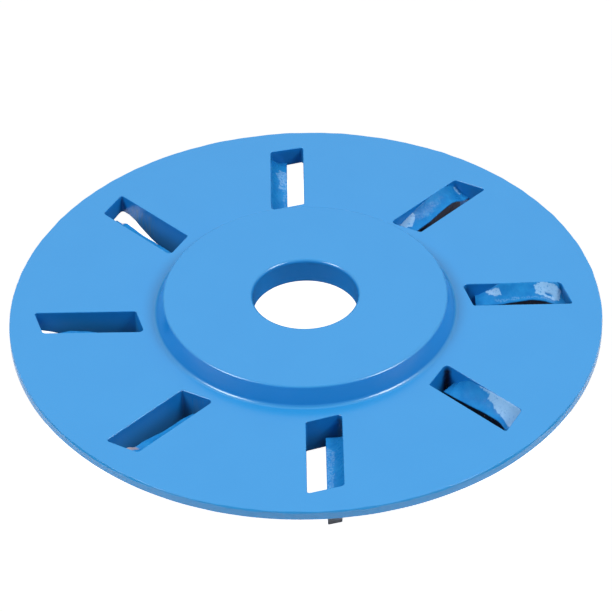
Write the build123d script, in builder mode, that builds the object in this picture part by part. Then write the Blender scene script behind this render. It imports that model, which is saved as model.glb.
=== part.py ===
from build123d import *
import os
from math import radians, tan

# Wood carving disc for an angle grinder: a slotted steel disc with eight brazed carbide tips.
#
# Frame: Z is the spindle axis and +Z points to the grinder. The origin is on that axis, level
# with the plate's top face, inside the arbor bore. Seen from above the disc turns clockwise.
# All sizes are in millimetres.

# Plate: flat on top, and below a flat annulus that a cone thins out towards the rim
disc_radius = 45.0
rim_thickness = 1.5
rim_rounding = 0.15
plate_thickness = 5.75
cone_start_radius = 33.5
cone_start_rounding = 15.0

# Raised hub on the grinder's side: its wall leans inwards, and the arbor bore goes through its web
hub_top_radius = 21.5
hub_base_radius = 22.75
hub_height = 2.9
hub_edge_rounding = 0.4
hub_base_fillet = 0.75
bore_radius = 8.0
bore_rounding = 0.5
web_thickness = 4.3

# Recess on the working side that takes the grinder's lock nut
recess_radius = 18.0
recess_corner_fillet = 0.6
recess_mouth_chamfer = 0.4

# Slots: the leading side lies on a radius, and both ends are skewed
slot_count = 8
first_slot_angle = -90.0
slot_lead_offset = -0.1
slot_trail_offset = 5.0
slot_inner_radius = 25.95
slot_length = 15.05
slot_end_skew = 16.0
slot_corner_radius = 0.6
slot_edge_rounding = 0.18

# Carbide tips: flat square-ended blocks that stand against each slot's trailing wall
tip_thickness = 2.1
tip_length = 13.0
tip_inner_end = 26.45
tip_top = -2.8
tip_edge = -7.8
tip_relief_angle = 14.0
tip_edge_chamfer = 0.12

# Braze: a thin layer behind each tip, and above it a hollow fillet from the wall to the tip's top
braze_thickness = 0.3
bead_top = -0.35
bead_front_height = 1.2
bead_hollow = 0.3
bead_end_slope = 1.7

# Heights and offsets that follow from the sizes above
hub_top = hub_height
recess_floor = hub_height - web_thickness
underside = -plate_thickness
skew_slope = tan(radians(slot_end_skew))
tip_back_offset = slot_trail_offset - braze_thickness
tip_front_offset = tip_back_offset - tip_thickness
tip_back_edge = tip_edge + tip_thickness * tan(radians(tip_relief_angle))
tip_outer_end = tip_inner_end + tip_length
bead_front_top = tip_top + bead_front_height


def slot_end(radius, offset):
    """Point of a slot's skewed end line: its distance from the axis and its offset sideways."""
    return (radius - offset * skew_slope, offset)


slot_outer_radius = slot_inner_radius + slot_length
slot_corners = [
    slot_end(slot_inner_radius, slot_lead_offset),
    slot_end(slot_outer_radius, slot_lead_offset),
    slot_end(slot_outer_radius, slot_trail_offset),
    slot_end(slot_inner_radius, slot_trail_offset),
]

# Outline of the turned blank from the bore to the rim, as distance from the axis and height
blank_section = [
    (bore_radius, hub_top),
    (hub_top_radius, hub_top),
    (hub_base_radius, 0.0),
    (disc_radius, 0.0),
    (disc_radius, -rim_thickness),
    (cone_start_radius, underside),
    (recess_radius, underside),
    (recess_radius, recess_floor),
    (bore_radius, recess_floor),
]

# Cutting prisms that pass right through the disc start this far above it
clear_of_disc = 10.0
# Edges this close to a plane lie on it
plane_tolerance = 0.001

os.makedirs("parts", exist_ok=True)

# ---------------------------------------------------------------- disc body
with BuildPart() as disc_body:
    with BuildSketch(Plane.XZ) as turned_section:
        with BuildLine():
            Polyline(*blank_section, close=True)
        make_face()
        corners = turned_section.vertices()
        at_hub_top = corners.group_by(Axis.Y)[-1]
        at_floor = corners.filter_by_position(Axis.Y, recess_floor, recess_floor)
        at_plate_top = corners.filter_by_position(Axis.Y, 0.0, 0.0)
        at_underside = corners.group_by(Axis.Y)[0]
        at_rim = corners.group_by(Axis.X)[-1]
        fillet(at_hub_top.sort_by(Axis.X)[-1], hub_edge_rounding)
        fillet([at_hub_top.sort_by(Axis.X)[0], at_floor.sort_by(Axis.X)[0]], bore_rounding)
        fillet(at_plate_top.sort_by(Axis.X)[0], hub_base_fillet)
        fillet(at_floor.sort_by(Axis.X)[-1], recess_corner_fillet)
        fillet(at_underside.sort_by(Axis.X)[-1], cone_start_rounding)
        chamfer(at_underside.sort_by(Axis.X)[0], recess_mouth_chamfer)
        fillet(at_rim, rim_rounding)
    revolve(axis=Axis.Z)

    with BuildSketch(Plane.XY.offset(clear_of_disc)):
        with PolarLocations(0, slot_count, start_angle=first_slot_angle):
            Polygon(*slot_corners, align=None)
        fillet(vertices(), slot_corner_radius)
    extrude(amount=-2 * clear_of_disc, mode=Mode.SUBTRACT)

    top_edges = edges().filter_by_position(Axis.Z, -plane_tolerance, plane_tolerance)
    slot_edges = top_edges.filter_by(lambda edge: edge.length < 2 * slot_length)
    fillet(slot_edges, slot_edge_rounding)

disc_body.part.label = "disc_body"
export_step(disc_body.part, "parts/disc_body.step")

# ---------------------------------------------------------------- tips and braze beads
for number in range(1, slot_count + 1):
    slot_angle = first_slot_angle + (number - 1) * 360.0 / slot_count
    slot_plane = Plane.XY.rotated((0, 0, slot_angle))
    # Across a slot: local x runs sideways over the slot, local y is up
    across_slot = Plane(origin=(0, 0, 0), x_dir=slot_plane.y_dir, z_dir=slot_plane.x_dir)
    # Along a slot: local x runs outwards from the axis, local y is up
    along_slot = Plane(origin=(0, 0, 0), x_dir=slot_plane.x_dir, z_dir=-slot_plane.y_dir)

    with BuildPart() as carbide_tip:
        with BuildSketch(across_slot.offset(tip_inner_end)):
            Polygon(
                (tip_front_offset, tip_edge),
                (tip_back_offset, tip_back_edge),
                (tip_back_offset, tip_top),
                (tip_front_offset, tip_top),
                align=None,
            )
        extrude(amount=tip_length)
        chamfer(edges().filter_by(Axis.Z), tip_edge_chamfer)

    carbide_tip.part.label = f"carbide_tip_{number}"
    export_step(carbide_tip.part, f"parts/carbide_tip_{number}.step")

    with BuildPart() as braze_bead:
        # Section across the slot: the thin layer stands behind the tip, the fillet lies over it
        with BuildSketch(across_slot.offset(tip_inner_end)):
            with BuildLine():
                wall_line = Line((slot_trail_offset, underside), (slot_trail_offset, bead_top))
                hollow = SagittaArc(wall_line @ 1, (tip_front_offset, bead_front_top), bead_hollow)
                Polyline(
                    hollow @ 1,
                    (tip_front_offset, tip_top),
                    (tip_back_offset, tip_top),
                    (tip_back_offset, underside),
                    wall_line @ 0,
                )
            make_face()
        extrude(amount=tip_length)
        # Seen along the slot's width the fillet slopes down to both ends
        with BuildSketch(along_slot.offset(-clear_of_disc)):
            Polygon(
                (tip_inner_end, underside),
                (tip_inner_end, tip_top),
                (tip_inner_end + bead_end_slope, bead_top),
                (tip_outer_end - bead_end_slope, bead_top),
                (tip_outer_end, tip_top),
                (tip_outer_end, underside),
                align=None,
            )
        extrude(amount=2 * clear_of_disc, mode=Mode.INTERSECT)
        # The slot's rounded corners and the disc's tapered underside bound the thin layer
        with BuildSketch(slot_plane.offset(clear_of_disc)):
            Polygon(*slot_corners, align=None)
            fillet(vertices(), slot_corner_radius)
        extrude(amount=-2 * clear_of_disc, mode=Mode.INTERSECT)
        with BuildSketch(Plane.XZ):
            with BuildLine():
                Polyline(*blank_section, close=True)
            make_face()
        revolve(axis=Axis.Z, mode=Mode.INTERSECT)

    braze_bead.part.label = f"braze_bead_{number}"
    export_step(braze_bead.part, f"parts/braze_bead_{number}.step")
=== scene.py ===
"""Looks of the wood carving disc: painted steel body, brazed carbide tips and painted braze beads.

Lengths are in millimetres in this script and are turned into metres where a mesh, light or
camera is made. A place in a slot is given as s, the distance from the axis along the slot's own
radius, and o, the offset sideways from that radius, towards the slot's trailing wall.
"""

import math

import bpy
from mathutils import Matrix, Vector, noise
from mathutils.geometry import area_tri, delaunay_2d_cdt


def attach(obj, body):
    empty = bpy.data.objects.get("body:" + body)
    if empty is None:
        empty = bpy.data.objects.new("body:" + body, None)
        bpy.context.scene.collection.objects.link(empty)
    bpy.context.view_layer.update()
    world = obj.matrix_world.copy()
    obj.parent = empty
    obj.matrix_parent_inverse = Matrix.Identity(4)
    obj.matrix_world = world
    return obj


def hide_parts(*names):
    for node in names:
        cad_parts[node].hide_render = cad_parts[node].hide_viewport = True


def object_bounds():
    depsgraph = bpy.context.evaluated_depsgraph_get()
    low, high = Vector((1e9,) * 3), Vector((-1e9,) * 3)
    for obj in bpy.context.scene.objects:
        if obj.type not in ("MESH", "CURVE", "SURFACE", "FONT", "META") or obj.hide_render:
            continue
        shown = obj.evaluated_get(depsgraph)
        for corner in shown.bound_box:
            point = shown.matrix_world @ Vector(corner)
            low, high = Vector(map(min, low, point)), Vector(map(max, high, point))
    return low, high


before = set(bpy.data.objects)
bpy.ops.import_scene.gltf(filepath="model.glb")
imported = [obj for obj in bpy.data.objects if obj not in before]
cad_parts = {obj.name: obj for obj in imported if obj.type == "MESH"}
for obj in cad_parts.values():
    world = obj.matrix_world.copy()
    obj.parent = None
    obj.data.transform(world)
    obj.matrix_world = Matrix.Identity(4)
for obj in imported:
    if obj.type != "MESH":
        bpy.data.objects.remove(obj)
cad_low, cad_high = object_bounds()

MM = 0.001

# ---------------------------------------------------------------- sizes
DISC_RADIUS = cad_high.x / MM
HUB_TOP = cad_high.z / MM
TIP_EDGE = cad_low.z / MM

# Plate
RIM_THICKNESS = 1.5
PLATE_THICKNESS = 5.75
CONE_START_RADIUS = 33.5
CONE_SLOPE = (PLATE_THICKNESS - RIM_THICKNESS) / (DISC_RADIUS - CONE_START_RADIUS)
CONE_START_BLEND = 2.6

# Wear of the rim's upper edge: how far it stands in, with nicks given as (size, seed)
RIM_WEAR = 0.14
RIM_WEAR_LEAST = 0.06
RIM_WEAR_MOST = 0.35
RIM_WEAR_STEEPNESS = 1.6
RIM_NICKS = ((4.5, 4.0), (2.0, 9.0))
RIM_NICK_DEPTH = 0.1
RIM_EDGE_OUT = 0.03
RIM_EDGE_DOWN = 0.04
RIM_FOOT_ROUNDING = 0.14
RIM_FOOT_UNEVENNESS = 0.05

# Hub, bore and nut recess
HUB_TOP_RADIUS = 21.5
HUB_BASE_RADIUS = 22.75
HUB_LEAN = math.degrees(math.atan2(HUB_BASE_RADIUS - HUB_TOP_RADIUS, HUB_TOP))
HUB_EDGE_ROUNDING = 0.4
HUB_BASE_FILLET = 0.75
BORE_RADIUS = 8.0
BORE_ROUNDING = 0.5
WEB_THICKNESS = 4.3
RECESS_FLOOR = HUB_TOP - WEB_THICKNESS
RECESS_RADIUS = 18.0
RECESS_CORNER_FILLET = 0.6
RECESS_MOUTH_CHAMFER = 0.4

# Slots
SLOT_COUNT = 8
FIRST_SLOT_ANGLE = -90.0
SLOT_LEAD = -0.1
SLOT_TRAIL = 5.0
SLOT_INNER = 25.95
SLOT_LENGTH = 15.05
SLOT_OUTER = SLOT_INNER + SLOT_LENGTH
SLOT_SKEW = math.tan(math.radians(16.0))
SLOT_CORNER_RADII = (0.3, 0.3, 0.6, 0.6)
# How far each slot's corners are off, as (along s, along o) for the inner leading, outer leading,
# outer trailing and inner trailing corner
SLOT_ERRORS = (
    ((0.0, -0.2), (0.0, -0.2), (0.0, 0.0), (-0.25, 0.0)),
    ((-0.35, 0.0), (-0.35, 0.0), (-0.35, 0.0), (-0.25, 0.0)),
    ((-0.4, 0.0), (-0.4, 0.0), (-0.4, 0.0), (-0.4, 0.0)),
    ((-0.2, 0.0), (-0.2, 0.0), (-0.2, 0.0), (-0.2, 0.0)),
    ((0.0, 0.0), (-0.15, 0.0), (0.25, 0.15), (0.0, 0.1)),
    ((-0.1, 0.0), (0.0, 0.0), (0.1, 0.0), (0.0, 0.0)),
    ((-0.15, 0.0), (0.2, -0.05), (0.18, -0.42), (-0.1, -0.25)),
    ((0.0, 0.0), (0.15, 0.0), (0.25, 0.0), (0.0, 0.0)),
)
# How much higher than the underside the foot of a leading wall is, as (s, height), for slots
# counted from 0
LEADING_FOOT_ERRORS = {
    5: (
        (30.0, 0.0),
        (33.5, -0.1),
        (35.5, 0.1),
        (37.3, 0.3),
        (38.1, 0.48),
        (39.4, 0.4),
        (40.3, 0.1),
        (41.2, -0.3),
    ),
    6: ((37.0, 0.0), (38.6, -0.03), (40.0, -0.26), (41.2, -0.42)),
}
# Strengths by slot: soot with painted shade in the corner behind a tip's inner end, painted shade on the
# outer end wall, and thin grey paint as (drips on the leading wall, film on the inner end wall)
CORNER_SOOT_AND_SHADE = (0.75, 1.0, 0.4, 0.1, 0.0, 0.25, 0.1, 0.5)
SHADE_AT_END = (0.0, 0.0, 0.6, 0.1, 0.2, 0.1, 0.0, 0.0)
THIN_IN_SLOT = ((0, 0), (0, 0), (0, 0), (0, 0), (0, 0), (1, 0), (0, 0), (0, 0.45))
CORNER_SOOT_AND_SHADE_REACH = (0.2, 1.1)
# Painted shade: slot walls darken towards the underside
DEEP_SHADE = 0.4
DEEP_SHADE_REACH = (1.5, 5.0)
DRIPS_BEGIN = (32.5, 35.5)
DRIPS_END = (38.3, 39.2)
SLOT_EDGE_ROUNDING = 0.13
SLOT_FOOT_ROUNDING = 0.1

# Tips and braze
TIP_FRONT = 2.6
TIP_BACK = 4.7
TIP_TOP = -2.8
TIP_INNER_END = 26.45
TIP_LENGTH = 13.0
TIP_GAP = 0.01
LIP_OVERHANG = 0.05
LIP_ROUNDING_OUT = 0.1
LIP_ROUNDING_DOWN = 0.14
LEAST_BEAD = 0.06
BRAZE_REACH = 0.75
BRAZE_PROUD = 0.03
BEAD_INTO_WALL = 0.12

# Slot whose bead ends in grey braze, counted from 0
GREY_ENDED = 7

# Floor and backdrop
STAGE_RADIUS = 3000.0
STAGE_SIDES = 96
LIT_FLOOR_INNER_RADIUS = 42.5
LEAST_RADIUS = 0.1

# Camera, with its angles in degrees
CAMERA_LENS = 180.07
CAMERA_SENSOR = 36.0
CAMERA_ELEVATION = 39.643
CAMERA_ROLL = -1.164
CAMERA_DISTANCE = 465.86
CAMERA_TARGET = (0.08, 0.52, 0.0)
CAMERA_NEAREST = 20.0
CAMERA_FARTHEST = 20000.0

# Soft boxes, with angles in degrees and power in watts
BOX_AZIMUTH = 72
BOX_ELEVATION = 50
BOX_DISTANCE = 900.0
BOX_SIZE = (300.0, 340.0)
BOX_POWER = 5.15

# The surroundings' strength is the product of one ramp per axis, each given as the axis, where the
# ramp starts and ends along the direction looked in, and its values there
SURROUNDINGS = (("Y", -0.5, 0.35, 0.36, 0.95), ("Z", -0.05, 0.6, 0.04, 1.0))

# Mesh density
AROUND = 540
ALONG_LONG_SIDE = 26
ALONG_SHORT_SIDE = 8
CORNER_STEPS = 6
WALL_LEVELS = 12
TOP_RINGS = [23.6, 24.6] + [26.0 + 1.5 * i for i in range(11)] + [42.8, 44.0]
FLAT_FOOT_RINGS = [19.4, 21.0, 23.0, 25.0, 27.0, 29.0, 30.2]
CONE_RINGS = [38.0, 39.8, 41.6, 43.4]
RING_POINTS = 160
TOP_MARGIN = 0.6
FOOT_MARGIN = 0.5
BEAD_STATIONS = 110
BEAD_ACROSS = 30


# ---------------------------------------------------------------- mesh maker
class MeshMaker:
    """Collects points in millimetres, faces, and a normal and three marks for each point."""

    def __init__(self):
        self.points = []
        self.normals = []
        self.marks = []
        self.faces = []

    def point(self, place, normal=(0.0, 0.0, 1.0), marks=(0.0, 0.0, 0.0)):
        self.points.append(tuple(place))
        self.normals.append(tuple(normal))
        self.marks.append(tuple(marks))
        return len(self.points) - 1

    def bridge(self, first, second, closed=True):
        """Quads between two rows of points."""
        count = len(first)
        for i in range(count if closed else count - 1):
            j = (i + 1) % count
            self.faces.append((first[i], first[j], second[j], second[i]))

    def fill(self, loops, loose, facing_down=False):
        """Triangles in the largest region that the loops bound, with loose extra points."""
        used = [index for loop in loops for index in loop] + loose
        edges = []
        start = 0
        for loop in loops:
            count = len(loop)
            edges += [(start + i, start + (i + 1) % count) for i in range(count)]
            start += count
        flat = [Vector(self.points[index][:2]) for index in used]
        result = delaunay_2d_cdt(flat, edges, [], 0, 1e-6)
        verts, sides, triangles, origins, side_origins = result[:5]
        triangles = [tuple(triangle) for triangle in triangles]
        bounds = {frozenset(side) for side, origin in zip(sides, side_origins) if origin}

        def region_area(region):
            return sum(area_tri(*(verts[i] for i in triangle)) for triangle in region)

        for triangle in max(regions(triangles, bounds), key=region_area):
            found = tuple(used[origins[i][0]] for i in triangle)
            self.faces.append(found[::-1] if facing_down else found)

    def make(self, name, own_normals=False):
        mesh = bpy.data.meshes.new(name)
        mesh.from_pydata([Vector(p) * MM for p in self.points], [], self.faces)
        marks = mesh.attributes.new("marks", "FLOAT_COLOR", "POINT")
        marks.data.foreach_set("color", [v for m in self.marks for v in (*m, 1.0)])
        mesh.polygons.foreach_set("use_smooth", [True] * len(mesh.polygons))
        if own_normals:
            mesh.normals_split_custom_set_from_vertices([Vector(n).normalized() for n in self.normals])
        made = bpy.data.objects.new(name, mesh)
        bpy.context.scene.collection.objects.link(made)
        return made


def regions(triangles, bounds):
    """Groups of triangles that join across sides other than the bounds."""
    beside = {}
    for triangle in triangles:
        for first, second in zip(triangle, triangle[1:] + triangle[:1]):
            side = frozenset((first, second))
            if side not in bounds:
                beside.setdefault(side, []).append(triangle)
    found = []
    seen = set()
    for start in triangles:
        if start in seen:
            continue
        seen.add(start)
        region = [start]
        for triangle in region:
            for first, second in zip(triangle, triangle[1:] + triangle[:1]):
                for other in beside.get(frozenset((first, second)), ()):
                    if other not in seen:
                        seen.add(other)
                        region.append(other)
        found.append(region)
    return found


def smooth_step(low, high, value):
    t = min(max((value - low) / (high - low), 0.0), 1.0)
    return t * t * (3.0 - 2.0 * t)


def through_knots(knots, t):
    """Smooth curve through (place, value) knots."""
    last = len(knots) - 1
    i = max(k for k in range(last) if k == 0 or knots[k][0] <= t)
    slopes = []
    for k in (i, i + 1):
        before, after = knots[max(k - 1, 0)], knots[min(k + 1, last)]
        slopes.append((after[1] - before[1]) / (after[0] - before[0]))
    (t0, v0), (t1, v1) = knots[i], knots[i + 1]
    length = t1 - t0
    u = min(max((t - t0) / length, 0.0), 1.0)
    bend = (1 - u) * u * length * ((1 - u) * slopes[0] - u * slopes[1])
    return v0 + (v1 - v0) * u * u * (3 - 2 * u) + bend


def lumps(place, size, seed=0.0):
    """Smooth noise from -1 to 1 whose lumps are about size millimetres wide."""
    return noise.noise(Vector(place) / size + Vector((seed, 3.7 * seed, -1.3 * seed)))


def rounded(centre, radius, start, end, steps, hollow=False):
    """Arc in a turned section: (radius, height, tilt of the normal), from start to end degrees."""
    found = []
    for i in range(steps + 1):
        angle = start + (end - start) * i / steps
        a = math.radians(angle)
        place = (centre[0] + radius * math.cos(a), centre[1] + radius * math.sin(a))
        found.append((*place, angle + 180 if hollow else angle))
    return found


# ---------------------------------------------------------------- disc body
def underside(radius):
    """Height of the disc's underside at a distance from the axis, without the rim's rounding."""
    low = CONE_START_RADIUS - CONE_START_BLEND
    high = CONE_START_RADIUS + CONE_START_BLEND
    if radius <= low:
        return -PLATE_THICKNESS
    if radius >= high:
        return -PLATE_THICKNESS + CONE_SLOPE * (radius - CONE_START_RADIUS)
    return -PLATE_THICKNESS + CONE_SLOPE * (radius - low) ** 2 / (2 * (high - low))


def slot_to_disc(number, s, o):
    """Point of a slot's own plane in the disc's plane."""
    a = math.radians(FIRST_SLOT_ANGLE + number * 360.0 / SLOT_COUNT)
    return (s * math.cos(a) - o * math.sin(a), s * math.sin(a) + o * math.cos(a))


def disc_to_slot(number, x, y):
    a = math.radians(FIRST_SLOT_ANGLE + number * 360.0 / SLOT_COUNT)
    return (x * math.cos(a) + y * math.sin(a), y * math.cos(a) - x * math.sin(a))


def slot_outline():
    """Closed outline of a slot: (s, o) points, each with its direction away from the slot."""
    corners = [
        Vector((SLOT_INNER - SLOT_LEAD * SLOT_SKEW, SLOT_LEAD)),
        Vector((SLOT_OUTER - SLOT_LEAD * SLOT_SKEW, SLOT_LEAD)),
        Vector((SLOT_OUTER - SLOT_TRAIL * SLOT_SKEW, SLOT_TRAIL)),
        Vector((SLOT_INNER - SLOT_TRAIL * SLOT_SKEW, SLOT_TRAIL)),
    ]
    arcs = []
    for i, corner in enumerate(corners):
        before = (corner - corners[i - 1]).normalized()
        after = (corners[(i + 1) % 4] - corner).normalized()
        radius = SLOT_CORNER_RADII[i]
        inward = (after - before).normalized()
        centre = corner + inward * radius / math.cos(before.angle(after) / 2)
        start = math.atan2(-before.x, before.y)
        turn = before.angle(after)
        turned = []
        for k in range(CORNER_STEPS + 1):
            a = start + turn * k / CORNER_STEPS
            away = Vector((math.cos(a), math.sin(a)))
            turned.append((centre + away * radius, away))
        arcs.append(turned)
    outline = []
    for i, turned in enumerate(arcs):
        outline += turned
        first, away = turned[-1]
        last = arcs[(i + 1) % 4][0][0]
        steps = ALONG_SHORT_SIDE if i % 2 else ALONG_LONG_SIDE
        outline += [(first.lerp(last, k / steps), away) for k in range(1, steps)]
    return outline


OUTLINE = slot_outline()


def slot_error(number, s, o):
    """How far a place near a slot is moved, blended from the errors of the slot's four corners."""
    along = min(max((s - SLOT_INNER) / SLOT_LENGTH, 0.0), 1.0)
    across = min(max((o - SLOT_LEAD) / (SLOT_TRAIL - SLOT_LEAD), 0.0), 1.0)
    shares = ((1 - along) * (1 - across), along * (1 - across), along * across, (1 - along) * across)
    return sum((Vector(e) * share for e, share in zip(SLOT_ERRORS[number], shares)), Vector((0.0, 0.0)))


def foot_error(number, s, o):
    """How much higher than the underside a slot's foot is; only a leading wall's foot is uneven."""
    if number not in LEADING_FOOT_ERRORS:
        return 0.0
    near = 1.0 - smooth_step(SLOT_LEAD, SLOT_LEAD + 1.0, o)
    return near * through_knots(LEADING_FOOT_ERRORS[number], s)


def in_slot(x, y, outset):
    """True if a point of the disc's plane lies in a slot widened all round by outset."""
    for number in range(SLOT_COUNT):
        s, o = disc_to_slot(number, x, y)
        s, o = Vector((s, o)) - slot_error(number, s, o)
        if abs(s - SLOT_INNER - SLOT_LENGTH / 2) > SLOT_LENGTH or abs(o - SLOT_TRAIL / 2) > SLOT_TRAIL:
            continue
        found = False
        previous, away = OUTLINE[-1]
        s0, o0 = previous + away * outset
        for place, away in OUTLINE:
            s1, o1 = place + away * outset
            if (o0 > o) != (o1 > o) and s < s0 + (s1 - s0) * (o - o0) / (o1 - o0):
                found = not found
            s0, o0 = s1, o1
        if found:
            return True
    return False


def turned_section():
    """(radius, height, tilt of the normal) from the recess's mouth over bore and hub to the plate."""
    chamfer_top = -PLATE_THICKNESS + RECESS_MOUTH_CHAMFER
    fillet_foot = RECESS_FLOOR - RECESS_CORNER_FILLET
    section = [
        (RECESS_RADIUS + RECESS_MOUTH_CHAMFER + 0.02, -PLATE_THICKNESS, 270),
        (RECESS_RADIUS + RECESS_MOUTH_CHAMFER - 0.02, -PLATE_THICKNESS + 0.02, 225),
        (RECESS_RADIUS + 0.02, chamfer_top - 0.02, 225),
        (RECESS_RADIUS, chamfer_top + 0.02, 180),
        (RECESS_RADIUS, (chamfer_top + fillet_foot) / 2, 180),
    ]
    corner = (RECESS_RADIUS - RECESS_CORNER_FILLET, fillet_foot)
    section += rounded(corner, RECESS_CORNER_FILLET, 0, 90, 6, hollow=True)
    section += [(15.0, RECESS_FLOOR, 270), (11.5, RECESS_FLOOR, 270)]
    lower = (BORE_RADIUS + BORE_ROUNDING, RECESS_FLOOR + BORE_ROUNDING)
    section += rounded(lower, BORE_ROUNDING, 270, 180, 5)
    section += [(BORE_RADIUS, HUB_TOP - 2.0, 180)]
    upper = (BORE_RADIUS + BORE_ROUNDING, HUB_TOP - BORE_ROUNDING)
    section += rounded(upper, BORE_ROUNDING, 180, 90, 6)
    section += [(radius, HUB_TOP, 90) for radius in (10.5, 13.0, 16.0, 19.0)]
    half_turn = math.tan(math.radians(90 - HUB_LEAN) / 2)
    edge = (HUB_TOP_RADIUS - HUB_EDGE_ROUNDING * half_turn, HUB_TOP - HUB_EDGE_ROUNDING)
    section += rounded(edge, HUB_EDGE_ROUNDING, 90, HUB_LEAN, 8)
    middle = (HUB_TOP_RADIUS + HUB_BASE_RADIUS) / 2
    section += [(middle, HUB_TOP / 2, HUB_LEAN)]
    base = (HUB_BASE_RADIUS + HUB_BASE_FILLET * half_turn, HUB_BASE_FILLET)
    section += rounded(base, HUB_BASE_FILLET, 180 + HUB_LEAN, 270, 10, hollow=True)
    return section


def rim_upper(turn):
    """Radius of the edge of the plate's top, nicked unevenly around the rim."""
    place = (DISC_RADIUS * math.cos(turn), DISC_RADIUS * math.sin(turn), 0.0)
    nicks = sum(RIM_NICK_DEPTH * lumps(place, size, seed) for size, seed in RIM_NICKS)
    return DISC_RADIUS - min(max(RIM_WEAR + nicks, RIM_WEAR_LEAST), RIM_WEAR_MOST)


def rim_section(turn):
    """(radius, height, tilt of the normal) from the plate's top over the worn rim to the cone."""
    place = (DISC_RADIUS * math.cos(turn), DISC_RADIUS * math.sin(turn), 0.0)
    upper = rim_upper(turn)
    tilt = math.degrees(math.atan(1 / RIM_WEAR_STEEPNESS))
    worn_foot = -RIM_EDGE_DOWN - RIM_WEAR_STEEPNESS * (DISC_RADIUS - upper - RIM_EDGE_OUT)
    section = [(upper, 0.0, 90), (upper + 0.012, -0.012, 57)]
    section += [(upper + RIM_EDGE_OUT, -RIM_EDGE_DOWN, tilt)]
    section += [(DISC_RADIUS - 0.01, worn_foot + 0.01 * RIM_WEAR_STEEPNESS, tilt)]
    section += [(DISC_RADIUS, worn_foot - 0.05, 0)]
    lower = RIM_FOOT_ROUNDING + RIM_FOOT_UNEVENNESS * lumps(place, 3.0, 15.0)
    down = math.degrees(math.atan(CONE_SLOPE)) - 90.0
    return section + rounded((DISC_RADIUS - lower, lower - RIM_THICKNESS), lower, 0, down, 5)


def upright(rise):
    """1 on upright walls, 0 on level surfaces; rise is the height of the surface's normal."""
    return 1.0 - smooth_step(0.45, 0.9, abs(rise))


def add_turned(maker, section_at):
    """Turns a section around the axis; gives the rows of points from its start to its end."""
    rows = []
    for i in range(AROUND):
        turn = math.tau * i / AROUND
        c, s = math.cos(turn), math.sin(turn)
        for k, (radius, height, tilt) in enumerate(section_at(turn)):
            if i == 0:
                rows.append([])
            level, rise = math.cos(math.radians(tilt)), math.sin(math.radians(tilt))
            # Painted shade: the upright hub wall takes the deeper, darker blue
            wall_shade = upright(rise) if radius < HUB_BASE_RADIUS + HUB_BASE_FILLET else 0.0
            place = (radius * c, radius * s, height)
            rows[k].append(maker.point(place, (level * c, level * s, rise), (0.0, 0.0, wall_shade)))
    for first, second in zip(rows, rows[1:]):
        maker.bridge(second, first)
    return rows[0], rows[-1]


def wall_marks(number, s, o, z, rise):
    """Marks of the body's paint: soot with painted shade, thin grey paint, and painted shade on upright
    walls; they end with the wall.
    """
    distance = math.hypot(s - SLOT_INNER + SLOT_TRAIL * SLOT_SKEW, o - SLOT_TRAIL)
    distance += 0.25 * lumps((s, o, z), 0.6, 12.0)
    in_corner = 1.0 - smooth_step(*CORNER_SOOT_AND_SHADE_REACH, distance)
    # Soot in the inner corner behind the tip, with painted shade there
    soot_and_shade = CORNER_SOOT_AND_SHADE[number] * in_corner * smooth_step(0.2, 1.0, -z)
    # Painted shade: darker towards the underside
    soot_and_shade = max(soot_and_shade, DEEP_SHADE * smooth_step(*DEEP_SHADE_REACH, -z))
    end_wall = SLOT_OUTER - o * SLOT_SKEW
    at_end = smooth_step(end_wall - 1.0, end_wall - 0.1, s) * smooth_step(0.1, 0.9, -z)
    # Painted shade on the outer end wall of some slots
    soot_and_shade = max(soot_and_shade, SHADE_AT_END[number] * at_end)
    drips, inner_film = THIN_IN_SLOT[number]
    on_leading_wall = 1.0 - smooth_step(0.3, 1.5, o)
    drips *= smooth_step(*DRIPS_BEGIN, s) * (1.0 - smooth_step(*DRIPS_END, s)) * on_leading_wall
    inner_film *= 1.0 - smooth_step(SLOT_INNER - 0.4, SLOT_INNER + 0.5, s)
    # The wall share is also painted shade: upright slot walls take the deeper, darker blue
    wall = upright(rise)
    return (soot_and_shade * wall, (drips + inner_film) * smooth_step(0.4, 1.2, -z) * wall, wall)


def slot_levels():
    """(outset, share of the way down, extra height, tilt of the normal) from top to underside."""
    levels = []
    for angle in (90, 67, 45, 22, 0):
        a = math.radians(angle)
        round_in = SLOT_EDGE_ROUNDING * (1 - math.cos(a))
        levels.append((round_in, 0.0, SLOT_EDGE_ROUNDING * math.sin(a), angle))
    levels += [(0.0, k / WALL_LEVELS, 0.0, 0) for k in range(1, WALL_LEVELS)]
    for angle in (0, 45, 90):
        a = math.radians(angle)
        round_in = SLOT_FOOT_ROUNDING * (1 - math.cos(a))
        levels.append((round_in, 1.0, -SLOT_FOOT_ROUNDING * math.sin(a), -angle))
    return levels


def add_slot(maker, number):
    """The four walls of one slot; gives its upper and lower edge."""
    rows = []
    heading = math.radians(FIRST_SLOT_ANGLE + number * 360.0 / SLOT_COUNT)
    for outset, share, extra, tilt in slot_levels():
        row = []
        level, rise = math.cos(math.radians(tilt)), math.sin(math.radians(tilt))
        for place, away in OUTLINE:
            s, o = place + away * outset
            s, o = Vector((s, o)) + slot_error(number, s, o)
            bottom = underside(math.hypot(s, o)) + foot_error(number, s, o) + SLOT_FOOT_ROUNDING
            z = -SLOT_EDGE_ROUNDING * (1 - share) + bottom * share + extra
            inward = Matrix.Rotation(heading, 2) @ away * -level
            normal = (*inward, rise)
            marks = wall_marks(number, s, o, z, rise)
            row.append(maker.point((*slot_to_disc(number, s, o), z), normal, marks))
        rows.append(row)
    for first, second in zip(rows, rows[1:]):
        maker.bridge(first, second)
    return rows[0], rows[-1]


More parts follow.
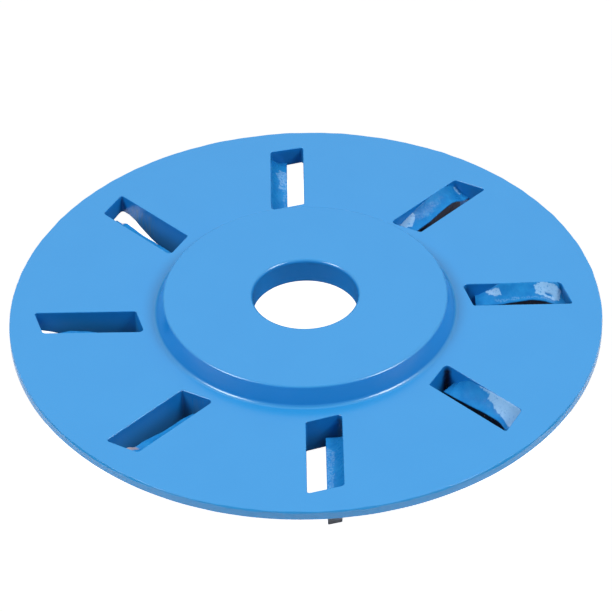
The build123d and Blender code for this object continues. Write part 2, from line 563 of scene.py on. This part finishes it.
def add_loose(maker, radii, margin, height, tilt):
    """Extra points on rings of the flat top or the underside, a margin clear of the slots."""
    found = []
    for k, radius in enumerate(radii):
        for i in range(RING_POINTS):
            a = math.tau * (i + 0.5 * (k % 2)) / RING_POINTS
            x, y = radius * math.cos(a), radius * math.sin(a)
            if not in_slot(x, y, margin):
                t = math.radians(tilt(radius))
                normal = (math.cos(t) * math.cos(a), math.cos(t) * math.sin(a), math.sin(t))
                found.append(maker.point((x, y, height(radius)), normal))
    return found


def underside_tilt(radius):
    """Tilt of the underside's normal at a distance from the axis."""
    low = CONE_START_RADIUS - CONE_START_BLEND
    share = min(max((radius - low) / (2 * CONE_START_BLEND), 0.0), 1.0)
    return math.degrees(math.atan(CONE_SLOPE * share)) - 90.0


def make_body():
    maker = MeshMaker()
    mouth, hub_base = add_turned(maker, lambda turn: turned_section())
    rim_top, rim_foot = add_turned(maker, rim_section)
    slots = [add_slot(maker, number) for number in range(SLOT_COUNT)]

    top_points = add_loose(maker, TOP_RINGS, TOP_MARGIN, lambda radius: 0.0, lambda radius: 90.0)
    maker.fill([hub_base, rim_top] + [upper for upper, lower in slots], top_points)
    bent_rings = [CONE_START_RADIUS + CONE_START_BLEND * k / 4 for k in range(-4, 5)]
    foot_rings = FLAT_FOOT_RINGS + bent_rings + CONE_RINGS
    foot_points = add_loose(maker, foot_rings, FOOT_MARGIN, underside, underside_tilt)
    maker.fill([mouth, rim_foot] + [lower for upper, lower in slots], foot_points, facing_down=True)
    return maker.make("painted_body", own_normals=True)


# ---------------------------------------------------------------- braze beads
class Bead:
    """One bead: heights of its line along the wall and of its front lip, as (s, z) points."""

    def __init__(
        self,
        wall,
        lip,
        fills_end=True,
        runs_in=0.0,
        steep=1.8,
        lump=0.1,
        pits=0.02,
        brown=0.0,
        patches=(),
        dents=(),
    ):
        self.wall = wall
        self.lip = lip
        self.fills_end = fills_end
        self.runs_in = runs_in
        self.steep = steep
        self.lump = lump
        self.pits = pits
        self.brown = brown
        self.patches = patches
        self.dents = dents


# A pale patch is (strength, corners as (s, o)): pale film on the braze, on some patches painted highlights
# and glints; a dent is (s, o, half length, half width, depth)
BEADS = [
    Bead(
        wall=[(26.4, -2.5), (28.5, -1.3), (31.0, -0.8), (37.0, -0.6), (40.0, -1.6)],
        lip=[(26.4, -2.7), (29.0, -2.4), (33.0, -2.15), (36.0, -2.1), (40.0, -2.6)],
        steep=3.0,
        pits=0.03,
        patches=[(0.35, [(28.5, 2.4), (40.0, 2.4), (40.0, 3.3), (35.6, 3.6), (33.0, 3.7), (30.3, 3.9)])],
    ),
    Bead(
        wall=[
            (26.4, -2.6), (27.4, -1.6), (28.8, -0.65), (30.3, -0.35),
            (32.5, -0.12), (39.0, -0.08), (40.0, -0.3),
        ],
        lip=[
            (26.4, -2.74), (29.6, -2.55), (31.0, -2.4), (33.9, -2.03),
            (35.8, -1.98), (37.1, -2.12), (38.2, -2.74),
        ],
        runs_in=0.4,
        steep=1.5,
        lump=0.07,
        pits=0.01,
        patches=[
            # Painted highlight: the shiny facet where the bead rises to the wall
            (
                1.0,
                [(33.0, 5.3), (33.3, 4.2), (34.8, 3.9), (36.0, 3.4), (38.2, 3.1), (40.2, 3.0), (40.0, 5.3)],
            ),
            (0.7, [(30.6, 4.9), (33.2, 4.7), (33.2, 5.2), (30.6, 5.2)]),
        ],
    ),
    Bead(
        wall=[
            (26.4, -2.3), (28.4, -1.0), (29.5, -0.2), (31.0, -0.04),
            (38.4, -0.02), (39.1, -0.5), (40.2, -2.2),
        ],
        lip=[
            (26.4, -2.24), (29.5, -2.1), (31.8, -1.7), (34.4, -1.32),
            (35.6, -1.38), (36.7, -1.66), (38.2, -2.2),
        ],
        runs_in=0.4,
        steep=1.3,
        lump=0.1,
        pits=0.03,
        brown=0.08,
        patches=[
            (0.9, [(27.6, 5.0), (29.6, 4.6), (30.1, 3.8), (29.1, 3.8), (28.1, 4.3)]),
            (0.3, [(29.0, 3.3), (34.4, 3.2), (37.0, 3.1), (38.0, 2.8), (34.4, 2.8), (29.0, 2.9)]),
            (
                0.9,
                [(35.1, 4.7), (35.3, 3.5), (38.0, 3.0), (38.9, 3.0), (39.2, 4.4), (38.3, 4.9), (36.5, 5.2)],
            ),
            # Painted glint along the bead's outer end
            (1.0, [(39.35, 4.7), (39.55, 4.7), (39.8, 3.3), (39.55, 3.4)]),
        ],
        dents=[(37.3, 3.65, 0.6, 0.16, 0.25)],
    ),
    Bead(
        wall=[(26.4, -1.8), (29.6, -0.86), (32.7, -0.2), (36.6, -0.06), (37.8, -0.3), (39.8, -1.45)],
        lip=[
            (26.4, -2.45), (28.9, -2.3), (30.5, -2.2), (33.6, -1.63),
            (35.2, -1.42), (36.4, -1.43), (39.0, -2.6),
        ],
        steep=1.7,
        lump=0.06,
        pits=0.035,
        brown=0.2,
        patches=[
            (0.9, [(29.6, 5.0), (29.1, 4.1), (27.9, 3.6), (26.3, 4.3), (26.3, 5.0)]),
            (0.16, [(29.6, 5.0), (29.2, 3.8), (31.5, 3.2), (34.5, 3.4), (34.8, 4.2), (32.5, 4.7)]),
            # Painted highlight on the bead's outer end slope
            (0.7, [(38.6, 4.7), (39.2, 4.8), (39.5, 3.8), (39.0, 3.7)]),
        ],
    ),
    Bead(
        wall=[(26.4, -2.0), (28.0, -0.9), (31.0, -0.45), (36.0, -0.4), (38.5, -0.9), (40.0, -1.5)],
        lip=[(26.4, -2.7), (30.0, -2.1), (34.0, -1.7), (37.0, -2.1), (40.0, -2.7)],
        steep=2.6,
        lump=0.12,
        patches=[
            (0.5, [(32.0, 4.0), (32.2, 2.4), (37.0, 2.4), (37.4, 3.8), (35.7, 4.3), (33.5, 3.8)]),
            (0.3, [(26.8, 3.2), (27.0, 2.4), (32.0, 2.4), (32.0, 3.3)]),
        ],
    ),
    Bead(
        fills_end=False,
        wall=[(26.4, -2.2), (29.0, -0.9), (33.0, -0.6), (37.0, -0.9), (39.5, -2.4)],
        lip=[
            (26.4, -2.4), (29.1, -2.42), (30.6, -2.36), (33.3, -2.38),
            (36.0, -2.14), (37.1, -2.12), (38.3, -2.75),
        ],
    ),
    Bead(
        fills_end=False,
        wall=[(26.4, -2.2), (29.0, -1.0), (33.0, -0.5), (37.0, -0.7), (39.5, -2.2)],
        lip=[
            (26.4, -2.25), (29.6, -2.05), (33.3, -1.56), (34.6, -1.42),
            (35.8, -1.36), (37.5, -1.9), (38.4, -2.75),
        ],
    ),
    Bead(
        wall=[(26.4, -2.2), (29.0, -1.1), (33.0, -0.8), (37.0, -0.9), (39.0, -1.2), (40.5, -0.9)],
        lip=[
            (26.4, -2.7), (27.8, -2.5), (29.1, -2.33), (32.5, -2.23), (34.8, -1.85), (36.3, -1.6),
            (37.6, -1.66), (38.4, -1.5), (39.0, -1.05), (39.6, -0.75), (40.5, -0.65),
        ],
    ),
]


def bead_height(bead, number, s, o):
    """Height of a bead's surface; its section is hollow from the wall to the lip."""
    wall = through_knots(bead.wall, s)
    lip = max(through_knots(bead.lip, s), TIP_TOP + LEAST_BEAD)
    across = min(max((o - TIP_FRONT) / (SLOT_TRAIL - TIP_FRONT), 0.0), 1.0)
    z = lip + (wall - lip) * across ** bead.steep
    x, y = slot_to_disc(number, s, o)
    loose = math.sin(math.pi * min(1.0 - across, 0.5))
    z += bead.lump * loose * (lumps((x, y, 0.0), 2.6, 60.0 + number) + 0.5 * lumps((x, y, 0.0), 1.2, 80.0))
    z += bead.pits * loose * lumps((x, y, 0.0), 0.45, 90.0 + number)
    for s0, o0, half_length, half_width, depth in bead.dents:
        z -= depth * math.exp(-((s - s0) / half_length) ** 2 - ((o - o0) / half_width) ** 2)
    return z


def depth_inside(corners, s, o):
    """Distance from a place to the outline through the corners, negative outside it."""
    place = Vector((s, o))
    nearest = 1000.0
    inside = False
    for first, second in zip(corners, corners[1:] + corners[:1]):
        a, b = Vector(first), Vector(second)
        share = min(max((place - a).dot(b - a) / (b - a).length_squared, 0.0), 1.0)
        nearest = min(nearest, (place - a.lerp(b, share)).length)
        if (a.y > o) != (b.y > o) and s < a.x + (b.x - a.x) * (o - a.y) / (b.y - a.y):
            inside = not inside
    return nearest if inside else -nearest


def pale(bead, s, o):
    """Strength of the pale film and painted highlights at a place of a bead."""
    ragged = 0.16 * lumps((s, o, 0.0), 0.8, 5.0) + 0.14 * lumps((s, o, 0.0), 0.3, 6.0)
    found = 0.0
    for strength, corners in bead.patches:
        found = max(found, strength * smooth_step(-0.06, 0.08, depth_inside(corners, s, o) + ragged))
    for s0, o0, half_length, half_width, depth in bead.dents:
        found *= 1.0 - math.exp(-(((s - s0) / half_length) ** 2 + ((o - o0) / half_width) ** 2) ** 2)
    return found


def make_bead(number, bead):
    """Lumpy fillet over one tip, with the thin layer behind the tip, as a closed solid.

    Its marks are the strengths of pale film with painted highlights, grey braze and bare braze.
    """
    maker = MeshMaker()
    lip_place = TIP_FRONT + LIP_OVERHANG
    rows = []
    for k in range(BEAD_STATIONS + 1):
        row = []
        along = TIP_INNER_END + TIP_LENGTH * k / BEAD_STATIONS
        reach = smooth_step(0.85, 1.0, k / BEAD_STATIONS) if bead.fills_end else 0.0
        run_in = bead.runs_in * (1.0 - smooth_step(0.0, 0.08, k / BEAD_STATIONS))

        def place_along(o):
            """The outer end of most beads spreads to the slot's end wall."""
            end_wall = SLOT_OUTER - o * SLOT_SKEW + slot_error(number, SLOT_OUTER, o).x + 0.02
            return along - run_in + reach * (end_wall - TIP_INNER_END - TIP_LENGTH)

        def add(o, z, marks=(0.0, 0.0, 0.0)):
            row.append(maker.point((*slot_to_disc(number, place_along(o), o), z), marks=marks))

        wall_place = SLOT_TRAIL + slot_error(number, along, SLOT_TRAIL).y + BEAD_INTO_WALL
        for i in range(BEAD_ACROSS + 1):
            o = wall_place + (lip_place - wall_place) * i / BEAD_ACROSS
            s = place_along(o)
            grey = 0.0
            if number == GREY_ENDED:
                grey = smooth_step(37.9, 38.5, s) * (1.0 - smooth_step(3.2, 3.7, o))
            add(o, bead_height(bead, number, s, o), (pale(bead, s, o), grey, 0.0))
        lip = bead_height(bead, number, place_along(lip_place), lip_place)
        fold = min(0.3, 0.5 * (lip - TIP_TOP))
        brown = bead.brown * smooth_step(29.0, 32.0, along)
        bare = 1.0 - smooth_step(37.6, 38.3, along) if bead.fills_end else 1.0
        for angle in (30, 60, 90):
            a = math.radians(angle)
            add(lip_place - LIP_ROUNDING_OUT * math.sin(a), lip - LIP_ROUNDING_DOWN * (1 - math.cos(a)))
        add(TIP_FRONT - 0.04, lip - LIP_ROUNDING_DOWN - 0.3 * fold, (0.0, brown, bare))
        face_foot = TIP_TOP - BRAZE_REACH
        for share in (0.25, 0.5, 0.75):
            uneven = 0.04 * lumps((along, share, 0.0), 0.7, 33.0 + number)
            height = lip - LIP_ROUNDING_DOWN - fold + (face_foot - lip + LIP_ROUNDING_DOWN + fold) * share
            add(TIP_FRONT - BRAZE_PROUD + uneven, height, (0.0, brown, bare))
        add(TIP_FRONT - BRAZE_PROUD, face_foot, (0.0, brown, bare))
        add(TIP_FRONT, face_foot - 0.05, (0.0, brown, bare))
        add(TIP_FRONT + TIP_GAP, TIP_TOP - TIP_GAP, (0.0, 0.0, 1.0))
        add(TIP_BACK, TIP_TOP - TIP_GAP, (0.0, 0.0, 1.0))
        foot = underside(math.hypot(along, TIP_BACK))
        add(TIP_BACK, foot, (0.0, 0.0, 1.0))
        add(SLOT_TRAIL, foot, (0.0, 0.0, 1.0))
        rows.append(row)
    for first, second in zip(rows, rows[1:]):
        maker.bridge(first, second)
    maker.faces.append(tuple(reversed(rows[0])))
    maker.faces.append(tuple(rows[-1]))
    return maker.make(f"painted_bead_{number + 1}")


# ---------------------------------------------------------------- materials
class Nodes:
    """Small helper for a material's node tree, in object coordinates scaled to millimetres."""

    def __init__(self, name):
        self.material = bpy.data.materials.new(name)
        self.material.use_nodes = True
        self.tree = self.material.node_tree
        self.shader = self.tree.nodes["Principled BSDF"]
        coordinates = self.tree.nodes.new("ShaderNodeTexCoord")
        scale = self.tree.nodes.new("ShaderNodeVectorMath")
        scale.operation = "SCALE"
        scale.inputs["Scale"].default_value = 1.0 / MM
        self.tree.links.new(coordinates.outputs["Object"], scale.inputs[0])
        self.place = scale.outputs[0]

    def link(self, source, target):
        self.tree.links.new(source, target)

    def noise(self, size, detail=2.0, roughness=0.5, stretch=None):
        """Noise from 0 to 1 with features about size millimetres wide."""
        place = self.place
        if stretch:
            node = self.tree.nodes.new("ShaderNodeVectorMath")
            node.operation = "MULTIPLY"
            node.inputs[1].default_value = stretch
            self.link(place, node.inputs[0])
            place = node.outputs[0]
        node = self.tree.nodes.new("ShaderNodeTexNoise")
        node.inputs["Scale"].default_value = 1.0 / size
        node.inputs["Detail"].default_value = detail
        node.inputs["Roughness"].default_value = roughness
        self.link(place, node.inputs["Vector"])
        return node.outputs["Fac"]

    def remap(self, value, low, high, to_low=0.0, to_high=1.0):
        node = self.tree.nodes.new("ShaderNodeMapRange")
        node.inputs["From Min"].default_value = low
        node.inputs["From Max"].default_value = high
        node.inputs["To Min"].default_value = to_low
        node.inputs["To Max"].default_value = to_high
        self.link(value, node.inputs["Value"])
        return node.outputs["Result"]

    def maths(self, operation, first, second):
        node = self.tree.nodes.new("ShaderNodeMath")
        node.operation = operation
        for socket, value in zip(node.inputs, (first, second)):
            if isinstance(value, (int, float)):
                socket.default_value = value
            else:
                self.link(value, socket)
        return node.outputs[0]

    def mix(self, factor, first, second):
        """Colour mix; factor is a socket, first and second are colours or sockets."""
        node = self.tree.nodes.new("ShaderNodeMix")
        node.data_type = "RGBA"
        self.link(factor, node.inputs["Factor"])
        for socket, value in ((node.inputs["A"], first), (node.inputs["B"], second)):
            if isinstance(value, tuple):
                socket.default_value = (*value, 1.0)
            else:
                self.link(value, socket)
        return node.outputs["Result"]

    def marks(self):
        node = self.tree.nodes.new("ShaderNodeAttribute")
        node.attribute_name = "marks"
        split = self.tree.nodes.new("ShaderNodeSeparateColor")
        self.link(node.outputs["Color"], split.inputs["Color"])
        return split.outputs["Red"], split.outputs["Green"], split.outputs["Blue"]

    def bump(self, height, distance):
        node = self.tree.nodes.new("ShaderNodeBump")
        node.inputs["Strength"].default_value = 1.0
        node.inputs["Distance"].default_value = distance * MM
        self.link(height, node.inputs["Height"])
        self.link(node.outputs["Normal"], self.shader.inputs["Normal"])


PAINT = (0.014, 0.210, 0.500)
# Painted shade: the deeper, darker blue that upright walls take
PAINT_WALL_SHADE = (0.008, 0.190, 0.545)
PAINT_LIGHT = (0.018, 0.225, 0.520)
# Near-black of soot and of painted shade in the slots
SOOT_AND_SHADE = (0.012, 0.016, 0.034)
SCALE_SPECK = (0.075, 0.055, 0.040)
THIN_PAINT = (0.048, 0.195, 0.420)
BEAD_PAINT = (0.012, 0.182, 0.455)
BEAD_DEEP = (0.008, 0.150, 0.415)
PALE_FILM_AND_HIGHLIGHT = (0.185, 0.37, 0.60)
GREY_BRAZE = (0.26, 0.23, 0.26)
BARE_BRAZE = (0.006, 0.009, 0.018)
BRAZE_SPOT = (0.22, 0.15, 0.07)
CARBIDE_DARK = (0.42, 0.43, 0.47)
CARBIDE_LIGHT = (0.56, 0.57, 0.61)
CARBIDE_SCRATCH = (0.68, 0.68, 0.70)


def disc_paint():
    nodes = Nodes("disc_paint")
    soot_and_shade, thin, wall_shade = nodes.marks()
    broad = nodes.remap(nodes.noise(9.0, 3.0), 0.35, 0.65)
    colour = nodes.mix(nodes.maths("MULTIPLY", broad, 0.3), PAINT, PAINT_LIGHT)
    # Painted shade: upright walls turn a deeper, darker blue
    colour = nodes.mix(wall_shade, colour, PAINT_WALL_SHADE)
    streaks = nodes.remap(nodes.noise(0.4, 2.0, 0.6, (1.0, 1.0, 0.12)), 0.42, 0.60)
    colour = nodes.mix(nodes.maths("MULTIPLY", thin, streaks), colour, THIN_PAINT)
    fine = nodes.remap(nodes.noise(0.3, 1.0), 0.60, 0.68)
    specks = nodes.maths("MULTIPLY", fine, nodes.remap(soot_and_shade, 0.5, 0.7))
    # Soot and painted shade darken the slot walls, with specks of scale in the soot
    colour = nodes.mix(soot_and_shade, colour, nodes.mix(specks, SOOT_AND_SHADE, SCALE_SPECK))
    nodes.link(colour, nodes.shader.inputs["Base Color"])
    rough = nodes.remap(nodes.noise(2.5, 3.0), 0.3, 0.7, 0.19, 0.25)
    nodes.link(rough, nodes.shader.inputs["Roughness"])
    nodes.shader.inputs["IOR"].default_value = 1.6
    nodes.bump(nodes.noise(2.2, 1.0), 0.003)
    return nodes.material


def bead_paint():
    nodes = Nodes("bead_paint")
    film_and_highlight, grey, bare = nodes.marks()
    broad = nodes.remap(nodes.noise(1.4, 2.0), 0.35, 0.65)
    colour = nodes.mix(broad, BEAD_DEEP, BEAD_PAINT)
    bare_places = nodes.remap(film_and_highlight, 0.0, 1.0, 0.62, 0.30)
    covered = nodes.remap(nodes.maths("SUBTRACT", nodes.noise(0.3, 2.0), bare_places), -0.12, 0.12)
    strength = nodes.remap(film_and_highlight, 0.0, 0.8)
    # Pale film on the braze, and painted highlights and glints, lighten the bead
    colour = nodes.mix(nodes.maths("MULTIPLY", strength, covered), colour, PALE_FILM_AND_HIGHLIGHT)
    specks = nodes.remap(nodes.noise(0.6, 2.0), 0.66, 0.72)
    metal = nodes.mix(specks, BARE_BRAZE, BRAZE_SPOT)
    colour = nodes.mix(nodes.remap(bare, 0.35, 0.65), colour, metal)
    colour = nodes.mix(grey, colour, GREY_BRAZE)
    nodes.link(colour, nodes.shader.inputs["Base Color"])
    rough = nodes.remap(nodes.noise(0.8, 3.0), 0.3, 0.7, 0.22, 0.36)
    nodes.link(rough, nodes.shader.inputs["Roughness"])
    nodes.shader.inputs["Specular IOR Level"].default_value = 0.08
    nodes.bump(nodes.noise(0.35, 3.0, 0.6), 0.02)
    return nodes.material


def carbide():
    nodes = Nodes("carbide")
    broad = nodes.remap(nodes.noise(1.6, 3.0), 0.35, 0.65)
    colour = nodes.mix(broad, CARBIDE_DARK, CARBIDE_LIGHT)
    scratches = nodes.remap(nodes.noise(0.25, 2.0, 0.5, (1.0, 1.0, 6.0)), 0.5, 0.75)
    colour = nodes.mix(nodes.maths("MULTIPLY", scratches, 0.5), colour, CARBIDE_SCRATCH)
    nodes.link(colour, nodes.shader.inputs["Base Color"])
    nodes.shader.inputs["Metallic"].default_value = 0.3
    rough = nodes.remap(nodes.noise(0.4, 2.0), 0.3, 0.7, 0.40, 0.58)
    nodes.link(rough, nodes.shader.inputs["Roughness"])
    nodes.bump(nodes.noise(0.2, 2.0, 0.5, (1.0, 1.0, 6.0)), 0.01)
    return nodes.material


# ---------------------------------------------------------------- pieces
body = make_body()
body.data.materials.append(disc_paint())
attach(body, "root")
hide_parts("disc_body")

bead_finish = bead_paint()
for number, bead in enumerate(BEADS):
    painted = make_bead(number, bead)
    painted.data.materials.append(bead_finish)
    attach(painted, "root")
    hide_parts(f"braze_bead_{number + 1}")

carbide_finish = carbide()
for number in range(SLOT_COUNT):
    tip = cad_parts[f"carbide_tip_{number + 1}"]
    tip.data.materials.clear()
    tip.data.materials.append(carbide_finish)


# ---------------------------------------------------------------- floor, light and camera
def make_stage(name, glow, edges):
    """White surface turned about the disc's axis between two edges, each (radius, height)."""
    maker = MeshMaker()
    rows = []
    for radius, height in edges:
        turns = [math.tau * i / STAGE_SIDES for i in range(STAGE_SIDES)]
        places = [(radius * math.cos(a), radius * math.sin(a), height) for a in turns]
        rows.append([maker.point(place) for place in places])
    maker.bridge(rows[1], rows[0])
    stage = maker.make(name)
    material = bpy.data.materials.new(name)
    material.use_nodes = True
    shader = material.node_tree.nodes["Principled BSDF"]
    shader.inputs["Base Color"].default_value = (0.8, 0.8, 0.8, 1.0)
    shader.inputs["Roughness"].default_value = 0.8
    shader.inputs["Emission Color"].default_value = (1.0, 1.0, 1.0, 1.0)
    shader.inputs["Emission Strength"].default_value = glow
    stage.data.materials.append(material)
    return stage


def make_floors():
    """Floor and backdrop, seen evenly white; the floor that lights the disc is open under the slots."""
    seen = make_stage("floor_seen", 1.0, ((LEAST_RADIUS, TIP_EDGE), (STAGE_RADIUS, TIP_EDGE)))
    upright_edges = ((STAGE_RADIUS, TIP_EDGE), (STAGE_RADIUS, STAGE_RADIUS))
    backdrop = make_stage("backdrop_seen", 1.0, upright_edges)
    for surface in (seen, backdrop):
        surface.visible_diffuse = False
        surface.visible_glossy = False
        surface.visible_shadow = False
    lit_edges = ((LIT_FLOOR_INNER_RADIUS, TIP_EDGE), (STAGE_RADIUS, TIP_EDGE))
    around = make_stage("floor_around", 0.0, lit_edges)
    around.visible_camera = False
    bore_edges = ((LEAST_RADIUS, TIP_EDGE), (RECESS_RADIUS, TIP_EDGE))
    under_bore = make_stage("floor_under_bore", 0.25, bore_edges)
    under_bore.visible_camera = False
    under_bore.visible_glossy = False


def soft_box(name, azimuth):
    """Area light that looks at the disc; azimuth 0 is the camera's side, 90 is +X."""
    light = bpy.data.lights.new(name, "AREA")
    light.shape = "RECTANGLE"
    light.size, light.size_y = (side * MM for side in BOX_SIZE)
    light.energy = BOX_POWER
    lamp = bpy.data.objects.new(name, light)
    bpy.context.scene.collection.objects.link(lamp)
    a, e = math.radians(azimuth), math.radians(BOX_ELEVATION)
    away = Vector((math.sin(a) * math.cos(e), -math.cos(a) * math.cos(e), math.sin(e)))
    lamp.location = away * (BOX_DISTANCE * MM)
    lamp.rotation_mode = "QUATERNION"
    lamp.rotation_quaternion = away.to_track_quat("Z", "Y")


def make_camera():
    """Long lens at the viewing angle, turned a little about its own axis."""
    camera_data = bpy.data.cameras.new("camera")
    camera_data.sensor_width = CAMERA_SENSOR
    camera_data.lens = CAMERA_LENS
    camera_data.clip_start = CAMERA_NEAREST * MM
    camera_data.clip_end = CAMERA_FARTHEST * MM
    camera = bpy.data.objects.new("camera", camera_data)
    bpy.context.scene.collection.objects.link(camera)
    elevation = math.radians(CAMERA_ELEVATION)
    roll = math.radians(CAMERA_ROLL)
    forward = Vector((0.0, math.cos(elevation), -math.sin(elevation)))
    right = Vector((1.0, 0.0, 0.0))
    up = right.cross(forward)
    camera_x = math.cos(roll) * right + math.sin(roll) * up
    camera_y = math.cos(roll) * up - math.sin(roll) * right
    place = (Vector(CAMERA_TARGET) - forward * CAMERA_DISTANCE) * MM
    turn = Matrix((camera_x, camera_y, -forward)).transposed().to_4x4()
    camera.matrix_world = Matrix.Translation(place) @ turn
    bpy.context.scene.camera = camera


def make_world():
    """Soft white backdrop behind and above the disc, darker room on the camera's side and below."""
    world = bpy.data.worlds.new("studio")
    world.use_nodes = True
    tree = world.node_tree
    background = tree.nodes["Background"]
    direction = tree.nodes.new("ShaderNodeTexCoord")
    split = tree.nodes.new("ShaderNodeSeparateXYZ")
    tree.links.new(direction.outputs["Generated"], split.inputs[0])
    strengths = []
    for socket, low, high, to_low, to_high in SURROUNDINGS:
        ramp = tree.nodes.new("ShaderNodeMapRange")
        ramp.interpolation_type = "SMOOTHSTEP"
        ramp.inputs["From Min"].default_value = low
        ramp.inputs["From Max"].default_value = high
        ramp.inputs["To Min"].default_value = to_low
        ramp.inputs["To Max"].default_value = to_high
        tree.links.new(split.outputs[socket], ramp.inputs["Value"])
        strengths.append(ramp.outputs["Result"])
    product = tree.nodes.new("ShaderNodeMath")
    product.operation = "MULTIPLY"
    tree.links.new(strengths[0], product.inputs[0])
    tree.links.new(strengths[1], product.inputs[1])
    tree.links.new(product.outputs[0], background.inputs["Strength"])
    background.inputs["Color"].default_value = (1.0, 1.0, 1.0, 1.0)
    bpy.context.scene.world = world


make_floors()
make_world()
make_camera()
soft_box("left_box", -BOX_AZIMUTH)
soft_box("right_box", BOX_AZIMUTH)
bpy.context.scene.view_settings.view_transform = "Standard"
